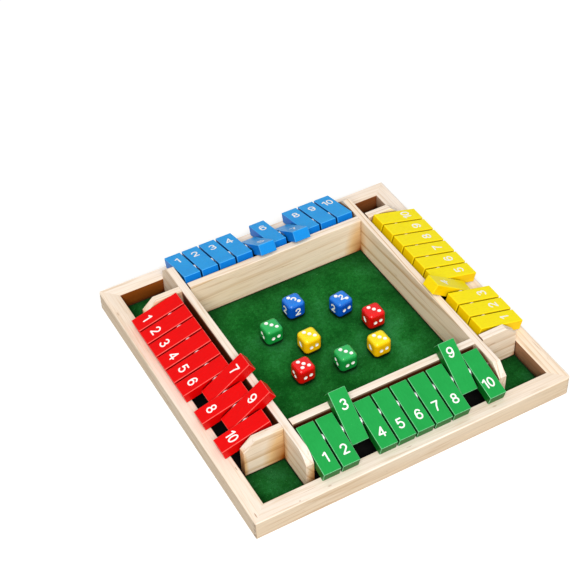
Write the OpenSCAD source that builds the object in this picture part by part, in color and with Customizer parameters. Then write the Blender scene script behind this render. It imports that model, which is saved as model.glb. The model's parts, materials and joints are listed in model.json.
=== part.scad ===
// Four-sided shut the box game: a square pine tray with four rows of numbered flip tiles,
// four crossing walls that hold the pivot rods, felt floors and eight dice.
// Millimetres. Origin at the bottom centre of the frame. +X runs along the green row from
// its tile 1 to its tile 10, +Y runs away from the green row, +Z is up.

/* [Tiles] */
// Tiles in each row
tile_count = 10; // [4:1:10]
// Length of a tile
tile_l = 43.1; // [36:0.1:46]
// Width of a tile along its row
tile_w = 14.7; // [12:0.1:18]
// Thickness of a tile
tile_t = 9.5; // [7:0.1:11]
// Eased edge of a tile
tile_ease = 0.4; // [0.3:0.1:1.2]
// Gap between two tiles of a row
tile_gap = 1.6; // [1.4:0.1:3]
// Free play between the last tile of a centred row and the wall
end_play = 1.65; // [1.5:0.05:4]
// Distance from a tile's short end to its pivot
pivot_inset = 14.2; // [10:0.1:17]
// Air left under a tile where it rests on the rail or on a wall
rest_gap = 0.1; // [0.05:0.05:0.3]
// Slide of the green row on its rod, towards its high numbers
green_shift = -1; // [-1.4:0.1:1.4]
// Slide of the red row on its rod, towards its high numbers
red_shift = -1.4; // [-1.4:0.1:1.4]
// Slide of the blue row on its rod, towards its high numbers
blue_shift = -0.1; // [-1.4:0.1:1.4]
// Slide of the yellow row on its rod, towards its high numbers
yellow_shift = 0.9; // [-1.4:0.1:1.4]

/* [Pivots] */
// Diameter of a pivot rod
rod_d = 3; // [2:0.1:4]
// Radial running clearance of a tile on its rod
bore_gap = 0.06; // [0.02:0.01:0.1]
// Depth to which a rod end is let into a wall
rod_seat = 5; // [2:0.1:6]
// Clearance of a rod in its wall hole
seat_gap = 0.02; // [0.01:0.01:0.1]
// Height of the pivots above the table
pivot_z = 29.8; // [27:0.1:33]
// Air between a turning tile's short end and the wall behind it
sweep_gap = 3.1; // [0.5:0.1:6]
// Diameter of a spacer washer
washer_d = 7.8; // [5:0.1:9]
// Side play of a washer between two tiles
washer_play = 0.15; // [0.05:0.05:0.4]

/* [Walls] */
// Thickness of a wall
wall_t = 6.7; // [5.5:0.1:9]
// Height of the walls' top above the table
wall_top = 36.5; // [34:0.1:40]
// Worn edge along a wall's top
wall_ease = 0.5; // [0.2:0.1:1]
// Wall left between a turning tile's sweep and the wall's end
stub_margin = 0.7; // [0.3:0.1:4]
// Length of the slope at a wall's end
slope_run = 10.3; // [6:0.1:14]
// Height of the slope at a wall's end
slope_drop = 9.6; // [6:0.1:14]
// Length of the rounded nose at the left wall's near end
nose_run = 15; // [11:0.1:18]
// Side play of the open slot where a wall crosses over another
notch_play = 0.9; // [0.1:0.1:1.5]
// Clearance of the hidden faces of a crossing
lap_gap = 0.1; // [0.05:0.05:0.3]
// Offset of the wall grid in the frame, to the right
grid_x = 2.6; // [-3:0.1:3]
// Offset of the wall grid in the frame, away from the green row
grid_y = 3; // [-3:0.1:3]

/* [Frame] */
// Width of a frame rail
rail_w = 14.1; // [12:0.1:20]
// Height of a frame rail
rail_h = 17.5; // [15:0.1:20]
// Mean gap between the walls' ends and the rails
frame_gap = 3.1; // [3:0.1:5]
// Eased top edge of a rail
rail_ease = 0.8; // [0.3:0.1:2]
// Corner radius where the red and green rails meet
corner_red_green = 0.8; // [0.5:0.1:5]
// Corner radius where the green and yellow rails meet
corner_green_yellow = 4; // [0.5:0.1:5]
// Corner radius where the yellow and blue rails meet
corner_yellow_blue = 2; // [0.5:0.1:5]
// Corner radius where the blue and red rails meet
corner_blue_red = 3; // [0.5:0.1:5]
// Tongues through each corner
tongue_count = 3; // [1:1:3]
// Height of a tongue
tongue_h = 3; // [2:0.1:3.5]
// Depth of a tongue
tongue_d = 2.8; // [2:0.1:5]
// Wood between a tongue and the frame's outer face
tongue_skin = 0.5; // [0.4:0.1:2]
// Glue gap in a corner joint
glue_gap = 0.05; // [0.02:0.01:0.1]

/* [Floor] */
// Thickness of the base board
base_t = 2; // [1.5:0.1:4]
// Width of the rebate that takes the base board's edge
rebate_w = 6; // [3:0.1:10]
// Clearance round the base board
base_gap = 0.2; // [0.1:0.1:1]
// Thickness of the felt
felt_t = 0.6; // [0.4:0.1:1.5]
// Clearance round each felt piece
felt_gap = 0.3; // [0.1:0.1:1]

/* [Dice] */
// Side of a die
die_side = 16; // [12:0.5:18]
// Edge radius of a die
die_r = 3.8; // [1:0.1:5]
// First blue die: right, away, turn in degrees
blue_die_1 = [-4.4, 46.6, 1];
// Second blue die: right, away, turn in degrees
blue_die_2 = [30.9, 28.7, 8];
// First red die: right, away, turn in degrees
red_die_1 = [46.7, 2.7, -1];
// Second red die: right, away, turn in degrees
red_die_2 = [-33.4, -21.1, 2];
// First green die: right, away, turn in degrees
green_die_1 = [-34.5, 29.8, 1];
// Second green die: right, away, turn in degrees
green_die_2 = [2.3, -26.7, -1];
// First yellow die: right, away, turn in degrees
yellow_die_1 = [-13, 5.2, 2];
// Second yellow die: right, away, turn in degrees
yellow_die_2 = [33.8, -26.8, 1];

/* [Hidden] */
// Overshoot of a cutting solid past the face that it cuts
cut = 1;
$fn = 48;

pine = "burlywood";
rod_r = rod_d / 2;
bore_r = rod_r + bore_gap;

// A row, measured along its rod
tile_pitch = tile_w + tile_gap;
row_half = (tile_count * tile_pitch - tile_gap) / 2;
wall_c = row_half + end_play + wall_t / 2;

// A tile about its pivot: the long arm, the short arm and the circle that the short end sweeps
long_arm = tile_l - pivot_inset;
short_arm = pivot_inset;
sweep_r = sqrt(short_arm * short_arm + tile_t * tile_t / 4);

// Distances from the middle of the wall grid
pivot_u = wall_c + wall_t / 2 + sweep_gap + sweep_r;
wall_half = pivot_u + sweep_r + stub_margin;

// The frame
inner_half = wall_half + frame_gap;
outer_half = inner_half + rail_w;
felt_top = base_t + felt_t;

// A tile's tilt where the eased corner of its long end lies on the rail
foot_arm = long_arm - tile_ease;
foot_r = sqrt(foot_arm * foot_arm + tile_t * tile_t / 4);
tilt_angle = asin((pivot_z - rail_h - rest_gap) / foot_r) - atan(tile_t / 2 / foot_arm);

// A flipped tile's rise where its face lies on the two edges of the wall's worn corner
function lean(du, dz) = atan(dz / du) + asin((tile_t / 2 + rest_gap) / sqrt(du * du + dz * dz));
wall_face = wall_c + wall_t / 2;
rise_angle = max(lean(pivot_u - wall_face, wall_top - wall_ease - pivot_z),
                 lean(pivot_u - wall_face + wall_ease, wall_top - pivot_z));
flip_angle = 180 - rise_angle;

// The rows: name, colour, turn about the vertical, side of number 1, slide, flipped numbers
rows = [
    ["green", "seagreen", 0, 1, green_shift, [3, 9]],
    ["red", "red", -90, 1, red_shift, [7, 9]],
    ["blue", "deepskyblue", 180, -1, blue_shift, [5, 7]],
    ["yellow", "gold", 90, 1, yellow_shift, [4]]
];

dice = [
    ["die_blue_1", "royalblue", blue_die_1],
    ["die_blue_2", "royalblue", blue_die_2],
    ["die_red_1", "red", red_die_1],
    ["die_red_2", "red", red_die_2],
    ["die_green_1", "mediumseagreen", green_die_1],
    ["die_green_2", "mediumseagreen", green_die_2],
    ["die_yellow_1", "gold", yellow_die_1],
    ["die_yellow_2", "gold", yellow_die_2]
];

function tile_name(row, n) = str(row[0], "_tile_", n < 10 ? "0" : "", n);
function is_flipped(row, n) = len([for (m = row[5]) if (m == n) m]) > 0;
function slot_x(row, n) = row[3] * ((n - (tile_count + 1) / 2) * tile_pitch + row[4]);

// ---- Frame ----

// A rectangle about the origin with cut corners
module eased_rectangle(w, h, ease) {
    polygon([
        [-w / 2 + ease, -h / 2], [w / 2 - ease, -h / 2], [w / 2, -h / 2 + ease], [w / 2, h / 2 - ease],
        [w / 2 - ease, h / 2], [-w / 2 + ease, h / 2], [-w / 2, h / 2 - ease], [-w / 2, -h / 2 + ease]
    ]);
}

// Section of a rail, from its inner face at x = 0 out to x = rail_w, with the base's rebate
module rail_section() {
    polygon([
        [rebate_w, 0], [rail_w, 0], [rail_w, rail_h - rail_ease], [rail_w - rail_ease, rail_h],
        [rail_ease, rail_h], [0, rail_h - rail_ease], [0, base_t], [rebate_w, base_t]
    ]);
}

// The corner of a block that lies outside its round, at the corner [x, y] of the frame
module corner_waste(x, y, r) {
    translate([x * outer_half, y * outer_half, -cut])
        linear_extrude(rail_h + 2 * cut)
            difference() {
                translate([x > 0 ? -r : -cut, y > 0 ? -r : -cut]) square(r + cut);
                translate([-x * r, -y * r]) circle(r);
            }
}

module round_corners() {
    difference() {
        children();
        corner_waste(-1, -1, corner_red_green);
        corner_waste(1, -1, corner_green_yellow);
        corner_waste(1, 1, corner_yellow_blue);
        corner_waste(-1, 1, corner_blue_red);
    }
}

// The tongues that run through both ends of the green rail, larger by the gap given
module tongues(gap) {
    pitch = rail_h / tongue_count;
    for (side = [-1, 1], k = [1:tongue_count])
        translate([
            side > 0 ? inner_half - gap : -outer_half - gap,
            -outer_half + tongue_skin - gap,
            (k - 0.5) * pitch - tongue_h / 2 - gap
        ])
            cube([rail_w + 2 * gap, tongue_d + 2 * gap, tongue_h + 2 * gap]);
}

// One side of the frame with its ends mitred, on the green side
module mitred_rail(gap) {
    intersection() {
        translate([-outer_half, -inner_half, 0]) rotate([90, 0, 90])
            linear_extrude(2 * outer_half) mirror([1, 0]) rail_section();
        translate([0, 0, -cut]) linear_extrude(rail_h + 2 * cut)
            polygon([
                [-outer_half + gap, -outer_half], [outer_half - gap, -outer_half],
                [inner_half - gap, -inner_half], [-inner_half + gap, -inner_half]
            ]);
    }
}

// A rail that sends tongues through its neighbours, turned to its side of the frame
module tongued_rail(turn) {
    round_corners() rotate(turn) union() {
        mitred_rail(0);
        tongues(0);
    }
}

// A rail that takes its neighbours' tongues
module slotted_rail(turn) {
    round_corners() difference() {
        rotate(turn) mitred_rail(glue_gap);
        tongues(glue_gap);
        rotate(180) tongues(glue_gap);
    }
}

module rail_front() { color(pine) tongued_rail(0); }
module rail_back() { color(pine) tongued_rail(180); }
module rail_left() { color(pine) slotted_rail(-90); }
module rail_right() { color(pine) slotted_rail(90); }

// ---- Floor ----

module base_board() {
    half = inner_half + rebate_w - base_gap;
    color("dimgray") translate([-half, -half, 0]) cube([2 * half, 2 * half, base_t]);
}

module felt_sheet(x0, x1, y0, y1) {
    translate([x0 + felt_gap, y0 + felt_gap, base_t])
        cube([x1 - x0 - 2 * felt_gap, y1 - y0 - 2 * felt_gap, felt_t]);
}

// The felt of the middle tray and of the four corner cells
module felt_lining() {
    tray = wall_c - wall_t / 2;
    color("darkgreen") {
        felt_sheet(grid_x - tray, grid_x + tray, grid_y - tray, grid_y + tray);
        for (x = [-1, 1], y = [-1, 1])
            felt_sheet(
                x < 0 ? -inner_half : grid_x + wall_face,
                x < 0 ? grid_x - wall_face : inner_half,
                y < 0 ? -inner_half : grid_y + wall_face,
                y < 0 ? grid_y - wall_face : inner_half
            );
    }
}

// ---- Walls ----

lap_z = (base_t + wall_top) / 2;

// What the slope takes off a wall's end, along +X from the wall's middle
module slope_waste() {
    polygon([
        [wall_half - slope_run, wall_top], [wall_half - slope_run, wall_top + cut],
        [wall_half + cut, wall_top + cut], [wall_half + cut, wall_top - slope_drop],
        [wall_half, wall_top - slope_drop]
    ]);
}

// What the rounded nose takes off instead: it leaves the top level and drops by slope_drop
module nose_waste() {
    r = (nose_run * nose_run + slope_drop * slope_drop) / (2 * slope_drop);
    start = wall_half - nose_run;
    difference() {
        translate([start, wall_top - slope_drop])
            square([nose_run + cut, slope_drop + cut]);
        translate([start, wall_top - r]) circle(r, $fn = 96);
        translate([start, wall_top - slope_drop]) square([nose_run, lap_gap]);
    }
}

// Side view of a wall along X; the end at -X may have the rounded nose
module wall_outline(nosed) {
    difference() {
        translate([-wall_half, base_t]) square([2 * wall_half, wall_top - base_t]);
        slope_waste();
        mirror([1, 0]) if (nosed) nose_waste(); else slope_waste();
    }
}

// A wall along X through the middle of the grid, without its crossings
module plain_wall(nosed) {
    intersection() {
        rotate([90, 0, 0]) linear_extrude(wall_t, center = true) wall_outline(nosed);
        translate([-wall_half - cut, 0, 0]) rotate([90, 0, 90])
            linear_extrude(2 * (wall_half + cut))
                polygon([
                    [-wall_t / 2, 0], [wall_t / 2, 0], [wall_t / 2, wall_top - wall_ease],
                    [wall_t / 2 - wall_ease, wall_top], [wall_ease - wall_t / 2, wall_top],
                    [-wall_t / 2, wall_top - wall_ease]
                ]);
    }
}

// Blind holes for the rod ends, on the wall's face towards side * Y
module rod_seats(side) {
    depth = rod_seat + lap_gap;
    for (x = [-1, 1])
        translate([x * pivot_u, side * (wall_t / 2 - depth), pivot_z]) rotate([-90 * side, 0, 0])
            cylinder(h = depth + cut, r = rod_r + seat_gap);
}

// A wall that crosses over others: its slots are open at the bottom
module over_wall(nosed, side) {
    w = wall_t + 2 * lap_gap;
    difference() {
        plain_wall(nosed);
        for (x = [-1, 1])
            translate([x * wall_c - w / 2, -wall_t, base_t - cut])
                cube([w, 2 * wall_t, lap_z + lap_gap - base_t + cut]);
        rod_seats(side);
    }
}

// A wall that passes under others: its slots are open at the top, with all their play on +X
module under_wall(side) {
    difference() {
        plain_wall(false);
        for (x = [-1, 1])
            translate([x * wall_c - wall_t / 2 - lap_gap, -wall_t, lap_z])
                cube([wall_t + lap_gap + notch_play, 2 * wall_t, wall_top - lap_z + cut]);
        rod_seats(side);
    }
}

module wall_front() { color(pine) translate([grid_x, grid_y - wall_c, 0]) under_wall(1); }
module wall_back() { color(pine) translate([grid_x, grid_y + wall_c, 0]) under_wall(-1); }
module wall_left() {
    color(pine) translate([grid_x - wall_c, grid_y, 0]) rotate(90) over_wall(true, -1);
}
module wall_right() {
    color(pine) translate([grid_x + wall_c, grid_y, 0]) rotate(90) over_wall(false, 1);
}

// ---- Rows ----

// Children are drawn on the green side about the rod's middle, and turned to the row's side
module at_row(row) {
    translate([grid_x, grid_y, 0]) rotate(row[2]) translate([0, -pivot_u, pivot_z]) children();
}

module along_rod(length, r) {
    rotate([0, 90, 0]) cylinder(h = length, r = r, center = true);
}

module pivot_rods() {
    color("silver") for (row = rows) at_row(row)
        along_rod(2 * (wall_c - wall_t / 2 + rod_seat), rod_r);
}

// One washer in each gap between two tiles
module spacer_washers() {
    washer_t = tile_gap - 2 * washer_play;
    color("gainsboro") for (row = rows, n = [1:tile_count - 1])
        at_row(row) translate([(slot_x(row, n) + slot_x(row, n + 1)) / 2, 0, 0])
            difference() {
                along_rod(washer_t, washer_d / 2);
                along_rod(washer_t + cut, rod_r + seat_gap);
            }
}

// A tile about its pivot, level, with its long end towards -Y
module tile_block() {
    difference() {
        translate([0, (short_arm - long_arm) / 2, 0]) intersection() {
            linear_extrude(tile_t, center = true) eased_rectangle(tile_w, tile_l, tile_ease);
            rotate([90, 0, 0]) linear_extrude(tile_l, center = true)
                eased_rectangle(tile_w, tile_t, tile_ease);
            rotate([90, 0, 90]) linear_extrude(tile_w, center = true)
                eased_rectangle(tile_l, tile_t, tile_ease);
        }
        along_rod(tile_w + cut, bore_r);
    }
}

module tile(row, n) {
    turn = is_flipped(row, n) ? -flip_angle : tilt_angle;
    color(row[1]) at_row(row) translate([slot_x(row, n), 0, 0]) rotate([turn, 0, 0]) tile_block();
}

// ---- Dice ----

// A long prism along Z whose section is a die's face with its round corners
module die_prism() {
    k = die_side / 2 - die_r;
    linear_extrude(die_side + 2 * cut, center = true) {
        square([die_side, 2 * k], center = true);
        square([2 * k, die_side], center = true);
        for (x = [-k, k], y = [-k, k]) translate([x, y]) circle(die_r);
    }
}

// The three prisms round a die's edges, and the ball rounds its corners
module die_block() {
    ball_r = sqrt(3) * (die_side / 2 - die_r) + die_r;
    translate([0, 0, die_side / 2]) intersection() {
        die_prism();
        rotate([90, 0, 0]) die_prism();
        rotate([0, 90, 0]) die_prism();
        sphere(ball_r);
    }
}

module die(entry) {
    place = entry[2];
    color(entry[1]) translate([place[0], place[1], felt_top]) rotate(place[2]) die_block();
}

rail_front();
rail_back();
rail_left();
rail_right();
base_board();
felt_lining();
wall_front();
wall_back();
wall_left();
wall_right();
pivot_rods();
spacer_washers();
for (row = rows, n = [1:tile_count])
    tile(row, n);
for (entry = dice)
    die(entry);
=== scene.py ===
import json
import math
import random

import bmesh
import bpy
import numpy as np
from mathutils import Matrix, Vector, noise


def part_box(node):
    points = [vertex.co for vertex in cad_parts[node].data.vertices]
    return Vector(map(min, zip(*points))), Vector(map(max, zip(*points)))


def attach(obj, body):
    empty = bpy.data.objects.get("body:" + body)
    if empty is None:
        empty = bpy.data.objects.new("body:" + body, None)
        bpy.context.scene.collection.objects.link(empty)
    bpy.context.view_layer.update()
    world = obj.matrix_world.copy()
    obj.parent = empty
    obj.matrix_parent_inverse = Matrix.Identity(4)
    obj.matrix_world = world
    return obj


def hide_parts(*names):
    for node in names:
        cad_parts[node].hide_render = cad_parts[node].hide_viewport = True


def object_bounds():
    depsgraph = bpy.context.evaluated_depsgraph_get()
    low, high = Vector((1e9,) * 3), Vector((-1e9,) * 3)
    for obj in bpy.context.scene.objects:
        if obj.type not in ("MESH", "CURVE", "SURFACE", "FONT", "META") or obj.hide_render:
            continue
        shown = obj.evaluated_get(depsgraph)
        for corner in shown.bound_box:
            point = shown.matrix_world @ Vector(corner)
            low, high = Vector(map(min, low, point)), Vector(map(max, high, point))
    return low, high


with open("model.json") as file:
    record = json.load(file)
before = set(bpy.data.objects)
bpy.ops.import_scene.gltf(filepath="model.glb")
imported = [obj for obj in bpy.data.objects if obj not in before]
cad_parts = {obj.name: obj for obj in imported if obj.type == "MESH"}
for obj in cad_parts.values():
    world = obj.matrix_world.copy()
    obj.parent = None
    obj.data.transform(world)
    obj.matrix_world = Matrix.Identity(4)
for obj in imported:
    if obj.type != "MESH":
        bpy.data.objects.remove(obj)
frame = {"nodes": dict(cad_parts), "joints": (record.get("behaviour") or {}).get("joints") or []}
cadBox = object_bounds()
nodes = frame["nodes"]
hinges = {joint["child"]: joint for joint in frame["joints"] if joint["type"] == "hinge"}
mm = 0.001
rowColours = ("green", "red", "blue", "yellow")
tileCount = sum(name.startswith("green_tile_") for name in nodes)

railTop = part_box("rail_front")[1].z
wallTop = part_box("wall_right")[1].z
# the middle of the wall grid, and how far a row's channel reaches along its wall to each side
channelFade = 2 * mm
leftWall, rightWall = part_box("wall_left"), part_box("wall_right")
frontWall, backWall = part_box("wall_front"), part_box("wall_back")
rowMiddle = ((leftWall[0].x + rightWall[1].x) / 2, (frontWall[0].y + backWall[1].y) / 2)
rowHalf = (rightWall[0].x - leftWall[1].x) / 2 - channelFade
print("frame read: %d nodes, %d hinged tiles" % (len(nodes), len(hinges)))


def addPiece(name, mesh, body, stands=()):
    # puts a mesh in the scene on its body, in place of the nodes it stands for
    piece = bpy.data.objects.new(name, mesh)
    bpy.context.scene.collection.objects.link(piece)
    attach(piece, body)
    if stands:
        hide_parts(*stands)
    return piece


def meshFrom(bm, name, *materials, smooth=True):
    mesh = bpy.data.meshes.new(name)
    bmesh.ops.recalc_face_normals(bm, faces=bm.faces[:])
    bm.to_mesh(mesh)
    bm.free()
    for material in materials:
        mesh.materials.append(material)
    if smooth:
        mesh.shade_smooth()
    return mesh


def keepFlatsFlat(piece):
    # big faces keep their own normal and only the small round edges blend
    weighted = piece.modifiers.new("weighted", "WEIGHTED_NORMAL")
    weighted.weight = 100
    weighted.keep_sharp = True


# how a node's mesh is cleaned, in mm and degrees, and how many steps round an edge over
cleaning = {"weld": 0.12, "sliver": 0.02, "join": 0.01, "flat": 1.5, "sharp": 25, "rounds": 2}


def softened(name, width, wanted):
    # the node's own shape with its sharp outer edges rounded over
    bm = bmesh.new()
    bm.from_mesh(nodes[name].data)
    bmesh.ops.remove_doubles(bm, verts=bm.verts[:], dist=cleaning["weld"] * mm)
    bmesh.ops.dissolve_degenerate(bm, edges=bm.edges[:], dist=cleaning["sliver"] * mm)
    bmesh.ops.dissolve_limit(bm, angle_limit=math.radians(cleaning["flat"]), verts=bm.verts[:],
                             edges=bm.edges[:])
    bmesh.ops.recalc_face_normals(bm, faces=bm.faces[:])
    sharp = []
    for edge in bm.edges:
        if len(edge.link_faces) == 2 and edge.is_convex:
            if edge.calc_face_angle(0) > math.radians(cleaning["sharp"]) and wanted(edge):
                sharp.append(edge)
    bmesh.ops.bevel(bm, geom=sharp, offset=width, offset_type="OFFSET", segments=cleaning["rounds"],
                    profile=0.5, affect="EDGES", clamp_overlap=True)
    return bm


def anyEdge(edge):
    return True


def solidBoxes(name):
    # lowest and highest corner of each separate solid in a node
    bm = bmesh.new()
    bm.from_mesh(nodes[name].data)
    bmesh.ops.remove_doubles(bm, verts=bm.verts[:], dist=cleaning["join"] * mm)
    left, boxes = set(bm.verts), []
    while left:
        reach, found = [left.pop()], []
        while reach:
            vert = reach.pop()
            found.append(vert.co.copy())
            for edge in vert.link_edges:
                other = edge.other_vert(vert)
                if other in left:
                    left.remove(other)
                    reach.append(other)
        corners = np.array(found)
        boxes.append((Vector(corners.min(0)), Vector(corners.max(0))))
    bm.free()
    return sorted(boxes, key=lambda box: (round(box[0].x, 4), round(box[0].y, 4)))


def shade(red, green, blue):
    # an sRGB colour, 0 to 255, as the linear light that a shader takes
    def linear(level):
        level /= 255
        return level / 12.92 if level <= 0.04045 else ((level + 0.055) / 1.055) ** 2.4
    return (linear(red), linear(green), linear(blue), 1)


def feed(material, socket, value):
    # a value that is a socket is linked, and any other is set
    if isinstance(value, bpy.types.NodeSocket):
        link(material, value, socket)
    else:
        socket.default_value = value


def addNode(material, kind, inputs=None, **settings):
    made = material.node_tree.nodes.new("ShaderNode" + kind)
    for key, value in settings.items():
        setattr(made, key, value)
    for key, value in (inputs or {}).items():
        feed(material, made.inputs[key], value)
    return made


def newFinish(name, **values):
    material = bpy.data.materials.new(name)
    material.use_nodes = True
    material.node_tree.nodes.clear()
    skin = addNode(material, "BsdfPrincipled")
    for key, value in values.items():
        skin.inputs[key.replace("_", " ")].default_value = value
    addNode(material, "OutputMaterial", {"Surface": skin.outputs["BSDF"]})
    return material, skin


def link(material, source, target):
    material.node_tree.links.new(source, target)


def ramp(material, factor, stops):
    made = addNode(material, "ValToRGB", {"Fac": factor})
    for index, (place, colour) in enumerate(stops):
        if index < 2:
            stop = made.color_ramp.elements[index]
            stop.position = place
        else:
            stop = made.color_ramp.elements.new(place)
        stop.color = colour if isinstance(colour, tuple) else (colour, colour, colour, 1)
    return made.outputs["Color"]


def blendColour(material, factor, first, second, mode="MIX"):
    made = addNode(material, "Mix", data_type="RGBA", blend_type=mode)
    for socket, value in ((made.inputs[0], factor), (made.inputs[6], first), (made.inputs[7], second)):
        feed(material, socket, value)
    return made.outputs[2]


def tinted(material, colour, tint):
    return blendColour(material, 1.0, colour, tint, "MULTIPLY")


def maths(material, operation, first, second=0.0):
    made = addNode(material, "Math", operation=operation)
    for socket, value in zip(made.inputs, (first, second)):
        feed(material, socket, value)
    return made.outputs[0]


def mapped(material, value, toMin, toMax, fromMin=0.0, fromMax=1.0):
    made = addNode(material, "MapRange", {"Value": value, "From Min": fromMin, "From Max": fromMax,
                                          "To Min": toMin, "To Max": toMax})
    return made.outputs[0]


def objectPlace(material):
    return addNode(material, "TexCoord").outputs["Object"]


def heightOf(material, normal):
    # how far a face looks up or down
    return addNode(material, "SeparateXYZ", {0: normal}).outputs[2]


def facingWay(material, normal, way):
    # how squarely a face looks one way, from -1 to 1
    return addNode(material, "VectorMath", {0: normal, 1: way}, operation="DOT_PRODUCT").outputs["Value"]


def openness(material, reach):
    # 0 in a narrow gap, and 1 where nothing stands within reach, in mm
    made = addNode(material, "AmbientOcclusion", {"Distance": reach * mm}, samples=8, only_local=False)
    return made.outputs["AO"]


def noiseAt(material, where, scale, detail=2.0, rough=0.5):
    made = addNode(material, "TexNoise", {"Vector": where, "Scale": scale, "Detail": detail,
                                          "Roughness": rough})
    return made.outputs["Fac"]


def stretched(material, where, along, across, axis):
    # coordinates squeezed along one axis, so that what is drawn on them runs along it
    scale = [across] * 3
    scale["XYZ".index(axis)] = along
    return addNode(material, "Mapping", {"Vector": where, "Scale": scale}).outputs["Vector"]


def bumpFrom(material, skin, height, strength, distance):
    bump = addNode(material, "Bump", {"Height": height, "Strength": strength, "Distance": distance})
    link(material, bump.outputs["Normal"], skin.inputs["Normal"])


# where the photograph was taken from, in degrees and mm, but clip is in metres
camera = {"turn": 27.54, "rise": 43.66, "roll": -2.33, "away": 1201.97, "aim": (7.47, 77.69, 0),
          "lens": 87.705, "sensor": 36, "clip": (0.05, 20)}


def setCamera():
    turn, rise = math.radians(camera["turn"]), math.radians(camera["rise"])
    back = Vector((-math.sin(turn) * math.cos(rise), -math.cos(turn) * math.cos(rise), math.sin(rise)))
    right = (-back).cross(Vector((0, 0, 1))).normalized()
    up = right.cross(-back)
    roll = math.radians(camera["roll"])
    right, up = right * math.cos(roll) + up * math.sin(roll), up * math.cos(roll) - right * math.sin(roll)
    lens = bpy.data.cameras.new("camera")
    lens.lens, lens.sensor_width, lens.sensor_fit = camera["lens"], camera["sensor"], "HORIZONTAL"
    lens.clip_start, lens.clip_end = camera["clip"]
    eye = bpy.data.objects.new("camera", lens)
    bpy.context.scene.collection.objects.link(eye)
    place = (Vector(camera["aim"]) + back * camera["away"]) * mm
    axes = Matrix((right, up, back)).transposed().to_4x4()
    eye.matrix_world = Matrix.Translation(place) @ axes
    bpy.context.scene.camera = eye


setCamera()
print("camera set")


# distances and sizes here are in metres, but floorBelow is in mm
studio = {
    "ambient": 0.42, "ambientColour": (1, 0.97, 0.93, 1), "back": 1.0, "backColour": (1, 1, 1, 1),
    "keyLevel": 0.94, "keyColour": (1, 0.985, 0.96), "keyFrom": (-0.32, -0.62, 0.73), "keyAway": 4.0,
    "keySize": 2.6, "floorSize": 8.0, "floorCells": 12, "floorBelow": 0.02,
    "floorWhite": (0.8, 0.8, 0.8, 1), "floorLift": 0.36, "liftColour": (0.96, 0.98, 1, 1),
    "floorBounce": (0.12, 0.12, 0.12, 1),
}


def setWorld():
    world = bpy.data.worlds.new("studio")
    bpy.context.scene.world = world
    world.use_nodes = True
    world.node_tree.nodes.clear()
    path = addNode(world, "LightPath").outputs
    seen = maths(world, "MAXIMUM", path["Is Camera Ray"], path["Is Glossy Ray"])
    also = maths(world, "MAXIMUM", seen, path["Is Transmission Ray"])
    soft = addNode(world, "Background", {"Color": studio["ambientColour"], "Strength": studio["ambient"]})
    white = addNode(world, "Background", {"Color": studio["backColour"], "Strength": studio["back"]})
    mixed = addNode(world, "MixShader", {0: also, 1: soft.outputs[0], 2: white.outputs[0]})
    addNode(world, "OutputWorld", {"Surface": mixed.outputs[0]})


def addSoftbox():
    toward = Vector(studio["keyFrom"]).normalized()
    lamp = bpy.data.lights.new("softbox", "AREA")
    lamp.shape, lamp.size = "DISK", studio["keySize"]
    # a white face square to the lamp comes out at keyLevel
    lamp.energy = studio["keyLevel"] * (math.pi * studio["keyAway"]) ** 2
    lamp.color = studio["keyColour"]
    box = bpy.data.objects.new("softbox", lamp)
    bpy.context.scene.collection.objects.link(box)
    box.location = toward * studio["keyAway"]
    box.rotation_euler = toward.to_track_quat("Z", "Y").to_euler()


def addFloor():
    material = bpy.data.materials.new("studio_floor")
    material.use_nodes = True
    material.node_tree.nodes.clear()
    path = addNode(material, "LightPath").outputs
    seen = maths(material, "MAXIMUM", path["Is Camera Ray"], path["Is Glossy Ray"])
    lit = addNode(material, "BsdfDiffuse", {"Color": studio["floorWhite"]})
    lift = addNode(material, "Emission", {"Color": studio["liftColour"], "Strength": studio["floorLift"]})
    white = addNode(material, "AddShader", {0: lit.outputs[0], 1: lift.outputs[0]})
    plain = addNode(material, "BsdfDiffuse", {"Color": studio["floorBounce"]})
    either = addNode(material, "MixShader", {0: seen, 1: plain.outputs[0], 2: white.outputs[0]})
    addNode(material, "OutputMaterial", {"Surface": either.outputs[0]})
    bm = bmesh.new()
    cells = studio["floorCells"]
    bmesh.ops.create_grid(bm, x_segments=cells, y_segments=cells, size=studio["floorSize"] / 2)
    floor = bpy.data.objects.new("studio_floor", meshFrom(bm, "studio_floor", material))
    floor.location.z = cadBox[0].z - studio["floorBelow"] * mm
    bpy.context.scene.collection.objects.link(floor)


bpy.context.scene.view_settings.view_transform = "Standard"
setWorld()
addSoftbox()
addFloor()
print("light and floor set")


# the browns for corners, channels and rails' inner faces, and the tones for upright sides, are painted
# shade
pine = {
    "pale": shade(253, 241, 229), "warm": shade(249, 229, 206), "late": shade(208, 170, 120),
    "endGrain": shade(150, 112, 72), "fleck": shade(158, 108, 62), "stain": shade(142, 82, 30),
    "cornerShadeDeep": shade(172, 112, 42), "cornerShadeLight": shade(240, 216, 176), "railSideShade": shade(255, 248, 233),
    "wallSideShade": shade(255, 250, 240), "hollowShadeBrown": shade(186, 134, 78), "pitch": shade(70, 34, 10),
    "channel": shade(96, 50, 14), "specular": 0.16, "roughness": (0.4, 0.6), "roundOver": 0.3,
    "hollowReach": 6, "stainSpan": 100, "markDepth": 3,  # mm, as roundOver is
    "shadeTopBand": 3, "shadeTopShare": 0.45,  # how deep the lighter band of painted shade under a wall's top is, and how strong
    "mitreSlack": 0.2, "topBand": 1.2, "footBand": 0.1,  # where a rail's edges count as mitre, top or foot
    "ringUnit": 0.314,  # the wave texture's ring spacing at a scale of 1
    "ringSway": 3.5, "swayFineness": (2.2, 16),  # how far the rings wander, in mm, and how finely
    "shiftAlong": 0.8, "askew": (math.radians(1.1), math.radians(1.3), 0.02),  # how it was sawn
    "relief": 0.35, "reliefDepth": 0.08,
}
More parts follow.
